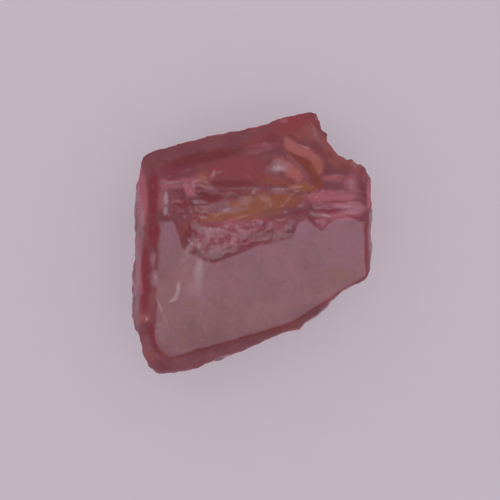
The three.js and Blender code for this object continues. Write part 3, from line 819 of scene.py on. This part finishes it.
        (0.12, 0.65, 0.38, 0.12, 8, 0.25), (-0.03, 0.68, 0.33, 0.1, 8, 0.25),
        (-0.39, 0.46, 0.14, 0.14, 0, 0.15), (0.36, 0.13, 0.1, 0.14, 0, 0.25),
        (-0.36, 0.1, 0.29, 0.07, -3, 0.5), (0.84, 0.26, 0.31, 0.14, 0, 0.6),
        (0.84, 0.43, 0.12, 0.19, 0, 0.4), (-0.73, -0.66, 0.14, 0.19, 0, 0.3),
        (-0.72, 0.3, 0.29, 0.11, 90, 0.65), (0.41, 0.11, 0.19, 0.19, 0, 0.2),
        (-0.53, -0.19, 0.33, 0.07, 62, 0.3), (-0.82, -0.42, 0.1, 0.19, 0, 0.35),
        (0.33, 0.75, 0.19, 0.08, -35, 0.25),
    ], []),
    # Frosted scars, which are also rougher, and painted highlights: the bright spot in the smooth shell, thin
    # pale lines along the ledges' edges, and small glints on the torn band and the stain.
    "frosting_and_glints": ("#c4a3a8", 0.5, 1, [
        (-0.712, 0.333, 0.17, 0.062, 90, 0.85), (-0.715, 0.242, 0.12, 0.057, 90, 0.7),
        (-0.807, -0.116, 0.17, 0.048, 92, 0.4), (-0.79, -0.25, 0.14, 0.07, 80, 0.4),
        (-0.43, -0.18, 0.19, 0.07, 80, 0.4), (-0.514, -0.032, 0.14, 0.06, 62, 0.6),
        (-0.572, -0.139, 0.14, 0.048, 52, 0.4), (-0.606, -0.33, 0.14, 0.048, 85, 0.7),
        (-0.648, -0.429, 0.12, 0.048, 25, 0.7), (-0.623, -0.39, 0.12, 0.043, 60, 0.7),
        (-0.765, -0.467, 0.24, 0.036, -70, 0.6), (-0.715, -0.581, 0.19, 0.038, -65, 0.5),
        (-0.36, 0.06, 0.05, 0.11, 0, 0.5), (-0.195, 0.082, 0.12, 0.038, -30, 0.5),
        (-0.229, -0.04, 0.07, 0.043, -35, 0.6), (-0.338, -0.063, 0.08, 0.036, -20, 0.5),
        (-0.665, 0.459, 0.22, 0.031, 2, 0.5), (-0.623, 0.426, 0.12, 0.026, 0, 0.4),
        (-0.55, 0.43, 0.05, 0.08, 10, 0.4), (-0.589, 0.238, 0.12, 0.029, 0, 0.35),
        (-0.698, 0.215, 0.12, 0.029, -25, 0.4), (-0.5, 0.39, 0.06, 0.12, 0, 0.3),
        (-0.468, 0.307, 0.07, 0.038, -30, 0.6), (-0.203, 0.25, 0.12, 0.043, 10, 0.6),
        (-0.304, 0.105, 0.24, 0.038, -3, 0.5), (0.258, 0.406, 0.33, 0.036, 0, 0.45),
        (-0.052, 0.413, 0.48, 0.024, 2, 0.35), (0.22, 0.57, 0.14, 0.08, 5, 0.6),
        (0.115, 0.752, 0.07, 0.048, 10, 0.3), (0.015, 0.379, 0.05, 0.048, 0, 0.6),
        (0.157, 0.28, 0.05, 0.048, 0, 0.5), (0.283, 0.234, 0.06, 0.043, 0, 0.6),
        (0.627, 0.204, 0.12, 0.031, -8, 0.8), (0.845, 0.303, 0.19, 0.038, 0, 0.5),
        (0.828, 0.227, 0.19, 0.038, 0, 0.5), (0.83, 0.44, 0.07, 0.12, 0, 0.4),
        (0.66, 0.288, 0.33, 0.024, -4, 0.4), (0.87, 0.6, 0.14, 0.07, -25, 0.4),
        (0.53, 0.86, 0.05, 0.24, 20, 0.4), (-0.87, -0.57, 0.04, 0.07, 0, 0.7),
        (-0.75, -0.62, 0.14, 0.07, -20, 0.3), (-0.279, 0.531, 0.1, 0.036, 20, 0.4),
        (0.702, 0.509, 0.24, 0.038, 0, 0.4), (-0.941, 0.326, 0.62, 0.036, 92, 0.3),
        (-0.32, 0.52, 0.04, 0.1, -20, 0.5), (-0.161, -0.002, 0.07, 0.048, 20, 0.5),
        (0.442, 0.73, 0.19, 0.024, -20, 0.5), (0.342, 0.646, 0.19, 0.024, -38, 0.4),
        (-0.094, 0.097, 0.1, 0.036, 10, 0.4), (-0.29, 0.02, 0.05, 0.07, 30, 0.5),
        (-0.44, -0.02, 0.07, 0.1, 0, 0.4), (-0.371, 0.227, 0.12, 0.029, -20, 0.3),
    ], []),
}


# How far an outline's edge fades and strays, in millimetres, the heights between which the marks begin, and
# how far up a surface looks where it turns from broken side to top.
OUTLINE_FADES = 0.12
OUTLINE_STRAYS = 0.04
MARKS_FROM = (0.5, 0.6)
SIDES_LOOK_UP = (0.2, 0.34)


def patch_strength(p, patches, outlines, soft):
    """How strongly a set of patches marks each point: for each, its strength within its ellipse or its
    outline, fading out across its rim, which noise moves in and out. The strongest counts."""
    u, v, h = in_shares(p)
    ragged = 1 + soft * (relief("slow raggedness", p) + relief("fine raggedness", p))
    strongest = np.zeros(len(p))
    for strength, outline in outlines:
        within = within_outline(p, outline) + OUTLINE_STRAYS * (1 - ragged)
        inner = smooth_step(-OUTLINE_FADES * soft, OUTLINE_FADES * soft, within)
        strongest = np.maximum(strongest, strength * inner)
    for at_u, at_v, length, width, turn, strength in patches:
        turn = math.radians(turn)
        a, b = (u - at_u) * WIDTH / 2, (v - at_v) * LENGTH / 2
        along, across = a * math.cos(turn) + b * math.sin(turn), b * math.cos(turn) - a * math.sin(turn)
        reach = np.hypot(along / length, across / width) * ragged
        strongest = np.maximum(strongest, strength * (1 - smooth_step(1 - soft, 1 + soft, reach)))
    return strongest * smooth_step(*MARKS_FROM, h)


def mark_patches(piece, p):
    """Writes each set of patches on the piece's points, as an attribute for its material."""
    for name, (_, soft, _, patches, outlines) in PATCHES.items():
        attribute = piece.data.attributes.new(name, "FLOAT", "POINT")
        attribute.data.foreach_set("value", patch_strength(p, patches, outlines, soft).astype(np.float32))


def mark_sides(piece, normals):
    """Writes how much of each point belongs to the broken sides: none of it where the surface tilts by less
    than about 70 degrees, all of it from about 78 on."""
    attribute = piece.data.attributes.new("side", "FLOAT", "POINT")
    side = 1 - smooth_step(*SIDES_LOOK_UP, normals[:, 2])
    attribute.data.foreach_set("value", side.astype(np.float32))


def linear(hex_colour):
    """An sRGB colour, as a hex string, to linear red, green, blue and alpha."""
    shares = [int(hex_colour[n : n + 2], 16) / 255 for n in (1, 3, 5)]
    return [c / 12.92 if c <= 0.04045 else ((c + 0.055) / 1.055) ** 2.4 for c in shares] + [1.0]


def new_material(name):
    """An empty material, its nodes and its output."""
    material = bpy.data.materials.new(name)
    material.use_nodes = True
    material.node_tree.nodes.clear()
    return material, material.node_tree


def add_node(tree, kind, settings=None, **sockets):
    """Adds a node. Settings are its own properties. Each socket in use, given by its name with _ for a
    space, or by _ and its place where a name repeats, is set to a value, or linked from an output or from a
    node's first output in use."""
    node = tree.nodes.new(kind)
    for key, value in (settings or {}).items():
        setattr(node, key, value)
    in_use = [socket for socket in node.inputs if socket.enabled]
    named = {socket.name.replace(" ", "_"): socket for socket in in_use}
    named |= {f"_{n}": socket for n, socket in enumerate(in_use)}
    for key, value in sockets.items():
        if isinstance(value, bpy.types.Node):
            value = next(output for output in value.outputs if output.enabled)
        if isinstance(value, bpy.types.NodeSocket):
            tree.links.new(value, named[key])
        else:
            named[key].default_value = value
    return node


def per(size_mm):
    """The scale of a pattern whose cells are that wide, in millimetres, over coordinates in metres."""
    return 1 / (size_mm * MM)


NOISE, RANGE, MIX, SUM = "ShaderNodeTexNoise", "ShaderNodeMapRange", "ShaderNodeMix", "ShaderNodeMath"
SHADER = "ShaderNodeBsdfPrincipled"
EASED = {"interpolation_type": "SMOOTHSTEP"}
COLOURS = {"data_type": "RGBA"}
# The middle of a noise's range, which becomes 0 to 1.
MIDDLE = {"From_Min": 0.3, "From_Max": 0.7}


# Etched and broken spinel: an iron-stained red gem crystal. Its growth faces are finely etched, and the
# breaks are shell-shaped and glassier. The eye sees a saturated red body that light sinks into, under a
# pale lilac gloss.
SPINEL_IOR = 1.718
BODY_PALE = "#91474f"
BODY_DARK = "#7d3843"
SIDE_CLEAR = "#a8414c"
SIDE_DEEP = "#862f3c"
SPECK_PINK = "#b87a80"
# How deep its etching is and how far light scatters in it, in millimetres, with the shares of red, green and
# blue, how rough its polished growth faces are, and how much rougher the frosting is.
ETCHING_DEPTH = 0.008
SCATTER = 0.5
SCATTER_SHARES = (1.0, 0.25, 0.25)
POLISH = {"To_Min": 0.19, "To_Max": 0.27}
FROSTING_ROUGHNESS = 0.15
# Its patterns, by the width of their cells. The etching is drawn coarser than it is, so that it shows.
SPINEL_PATTERNS = {
    "clouds": {"Scale": per(0.7), "Detail": 5.0, "Roughness": 0.65, "Distortion": 0.5},
    "side clouds": {"Scale": per(0.9), "Detail": 5.0, "Roughness": 0.6, "Distortion": 0.3},
    "break-up": {"Scale": per(0.18), "Detail": 5.0, "Roughness": 0.7, "Distortion": 0.2},
    "specks": {"Scale": per(0.12), "Detail": 3.0, "Roughness": 0.6},
    "etching": {"Scale": per(0.09), "Detail": 2.0, "Roughness": 0.5},
}


def spinel():
    """Etched and broken spinel: two reds clouded together, with the patches' colours laid over them in turn,
    some of them painted shade, sheen and highlights, each broken up by noise, and a roughness that follows
    the same etching as the bump."""
    material, tree = new_material("spinel, etched and broken crystal")
    at = add_node(tree, "ShaderNodeTexCoord").outputs["Object"]
    drawn = {name: add_node(tree, NOISE, Vector=at, **sockets) for name, sockets in SPINEL_PATTERNS.items()}
    clouds = add_node(tree, RANGE, EASED, Value=drawn["clouds"], **MIDDLE)
    colour = add_node(tree, MIX, COLOURS, Factor=clouds, A=linear(BODY_PALE), B=linear(BODY_DARK))
    break_up = add_node(tree, SUM, {"operation": "SUBTRACT"}, _0=drawn["break-up"], _1=0.5)
    marked = {}
    for name, (patch_hex, _, broken, _, _) in PATCHES.items():
        mark = add_node(tree, "ShaderNodeAttribute", {"attribute_name": name}).outputs["Fac"]
        shaken = add_node(tree, SUM, {"operation": "MULTIPLY_ADD"}, _0=break_up, _1=broken, _2=mark)
        shaken = add_node(tree, RANGE, EASED, Value=shaken, From_Min=-0.15, From_Max=0.95)
        marked[name] = add_node(tree, SUM, {"operation": "MULTIPLY"}, _0=shaken, _1=mark)
        colour = add_node(tree, MIX, COLOURS, Factor=marked[name], A=colour, B=linear(patch_hex))
    side = add_node(tree, "ShaderNodeAttribute", {"attribute_name": "side"}).outputs["Fac"]
    depths = add_node(tree, RANGE, EASED, Value=drawn["side clouds"], **MIDDLE)
    depths = add_node(tree, MIX, COLOURS, Factor=depths, A=linear(SIDE_CLEAR), B=linear(SIDE_DEEP))
    colour = add_node(tree, MIX, COLOURS, Factor=side, A=colour, B=depths)
    specks = add_node(tree, RANGE, EASED, Value=drawn["specks"], From_Min=0.58, From_Max=0.8, To_Max=0.3)
    colour = add_node(tree, MIX, COLOURS, Factor=specks, A=colour, B=linear(SPECK_PINK))
    etching = drawn["etching"]
    rough = add_node(tree, RANGE, EASED, Value=etching, **MIDDLE, **POLISH)
    rough = add_node(tree, SUM, {"operation": "MULTIPLY_ADD"}, _0=marked["frosting_and_glints"], _1=FROSTING_ROUGHNESS,
                     _2=rough)
    bump = add_node(tree, "ShaderNodeBump", Strength=0.3, Distance=ETCHING_DEPTH * MM, Height=etching)
    shader = add_node(tree, SHADER, Base_Color=colour, Roughness=rough, IOR=SPINEL_IOR, Normal=bump,
                      Subsurface_Weight=0.6, Subsurface_Radius=SCATTER_SHARES, Subsurface_Scale=SCATTER * MM)
    add_node(tree, "ShaderNodeOutputMaterial", Surface=shader)
    return material


# Drafting film: matt, so that it has no gloss of its own, and lit through, so that shadows on it are weak.
FILM_PALE = "#a29ea1"
FILM_GREY = "#a19da0"
TABLE_LIGHT = "#c0b6c1"
TABLE_BRIGHTNESS = 0.54
FILM_TOOTH = 0.5


def backdrop_film():
    """Matt lilac-grey drafting film on a light table: a hardly visible tooth, and a little light through
    it."""
    material, tree = new_material("matt film on a light table")
    at = add_node(tree, "ShaderNodeTexCoord").outputs["Object"]
    tooth = add_node(tree, NOISE, Vector=at, Scale=per(FILM_TOOTH), Detail=2.0, Roughness=0.55)
    tooth = add_node(tree, RANGE, EASED, Value=tooth, **MIDDLE)
    colour = add_node(tree, MIX, COLOURS, Factor=tooth, A=linear(FILM_PALE), B=linear(FILM_GREY))
    shader = add_node(tree, SHADER, Base_Color=colour, Roughness=0.9, Specular_IOR_Level=0.1,
                      Emission_Color=linear(TABLE_LIGHT), Emission_Strength=TABLE_BRIGHTNESS)
    add_node(tree, "ShaderNodeOutputMaterial", Surface=shader)
    return material


# The sheet, in millimetres, and how many steps its bend and a turn have.
FLOOR_REACH = 190.0
WALL_BEND = 45.0
WALL_TOP = 70.0
BEND_STEPS = 12
TURN_STEPS = 96


def backdrop():
    """A round sheet of drafting film that curves up into a low wall: a profile of floor, quarter circle and
    wall, carried once round the upright axis."""
    bend = np.linspace(0, math.pi / 2, BEND_STEPS + 1)
    curve_out = FLOOR_REACH - WALL_BEND + WALL_BEND * np.sin(bend)
    curve_up = WALL_BEND * (1 - np.cos(bend))
    outwards = np.concatenate([[0.001, 10, 60], curve_out, [FLOOR_REACH]])
    upwards = np.concatenate([[0, 0, 0], curve_up, [WALL_TOP]])
    turns = np.linspace(0, 2 * math.pi, TURN_STEPS, endpoint=False)
    points = np.stack([np.outer(outwards, np.cos(turns)), np.outer(outwards, np.sin(turns)),
                       np.outer(upwards, np.ones_like(turns))], axis=-1)
    ring, step = np.meshgrid(np.arange(len(outwards) - 1), np.arange(len(turns)), indexing="ij")
    ahead = (step + 1) % len(turns)
    start, after = ring * len(turns), (ring + 1) * len(turns)
    quads = np.stack([start + step, after + step, after + ahead, start + ahead], axis=-1).reshape(-1, 4)
    sheet = new_piece("backdrop", points.reshape(-1, 3), quads)
    sheet.data.materials.append(backdrop_film())


# The softboxes: for each, its tilt and heading, its distance and size, in millimetres, and its brightness.
SOFTBOXES = {
    "overhead softbox": (0, 0, 160, 190, 0.85),
    "middle of the softbox": (5, 40, 155, 50, 0.45),
}
SOFTBOX_COLOUR = "#f1eeff"
ROOM_COLOUR = "#fbe9ee"
ROOM_BRIGHTNESS = 0.47


def softbox(name, tilt, heading, distance, size, brightness):
    """A square softbox that faces the stone from a direction: its power gives it that brightness, seen head
    on."""
    lamp = bpy.data.lights.new(name, "AREA")
    lamp.shape = "SQUARE"
    lamp.size = size * MM
    lamp.energy = brightness * math.pi * lamp.size**2
    lamp.color = linear(SOFTBOX_COLOUR)[:3]
    holder = bpy.data.objects.new(name, lamp)
    holder.location = CENTRE * MM + direction(tilt, heading) * distance * MM
    holder.rotation_euler = (math.radians(tilt), 0, math.radians(heading + 90))
    bpy.context.collection.objects.link(holder)


def studio():
    """One large softbox overhead, brighter in its middle, in a dim room."""
    for name, setting in SOFTBOXES.items():
        softbox(name, *setting)
    world = bpy.data.worlds.new("dim room")
    world.use_nodes = True
    background = world.node_tree.nodes["Background"]
    background.inputs["Color"].default_value = linear(ROOM_COLOUR)
    background.inputs["Strength"].default_value = ROOM_BRIGHTNESS
    bpy.context.scene.world = world
    bpy.context.scene.view_settings.view_transform = "Standard"


# The lens and its sensor in millimetres, the picture's width in pixels, how many pixels a millimetre takes,
# and where the camera looks, in millimetres and as a share of the stone's thickness.
LENS = 300.0
SENSOR = 36.0
PICTURE_WIDTH = 500
PIXELS_PER_MM = 41.8
LOOKS_AT = (-0.03, -0.17)
LOOKS_AT_HEIGHT = 0.7


def camera():
    """A long lens straight above the stone, so far off that the picture is as wide as the frame at the
    height of the stone's middle."""
    lens = bpy.data.cameras.new("camera")
    lens.lens = LENS
    lens.sensor_width = SENSOR
    lens.clip_start = 1 * MM
    distance = PICTURE_WIDTH / PIXELS_PER_MM * LENS / SENSOR
    holder = bpy.data.objects.new("camera", lens)
    holder.location = (LOOKS_AT[0] * MM, LOOKS_AT[1] * MM, (LOOKS_AT_HEIGHT * THICKNESS + distance) * MM)
    bpy.context.collection.objects.link(holder)
    bpy.context.scene.camera = holder


def crystal():
    """The stone, in the place of its plain solid."""
    points, quads = finished_surface()
    piece = new_piece("spinel", points, quads)
    mark_patches(piece, points)
    mark_sides(piece, corner_normals(points, quads))
    piece.data.materials.append(spinel())
    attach(piece, "root")
    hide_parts("spinel_crystal")


crystal()
backdrop()
studio()
camera()
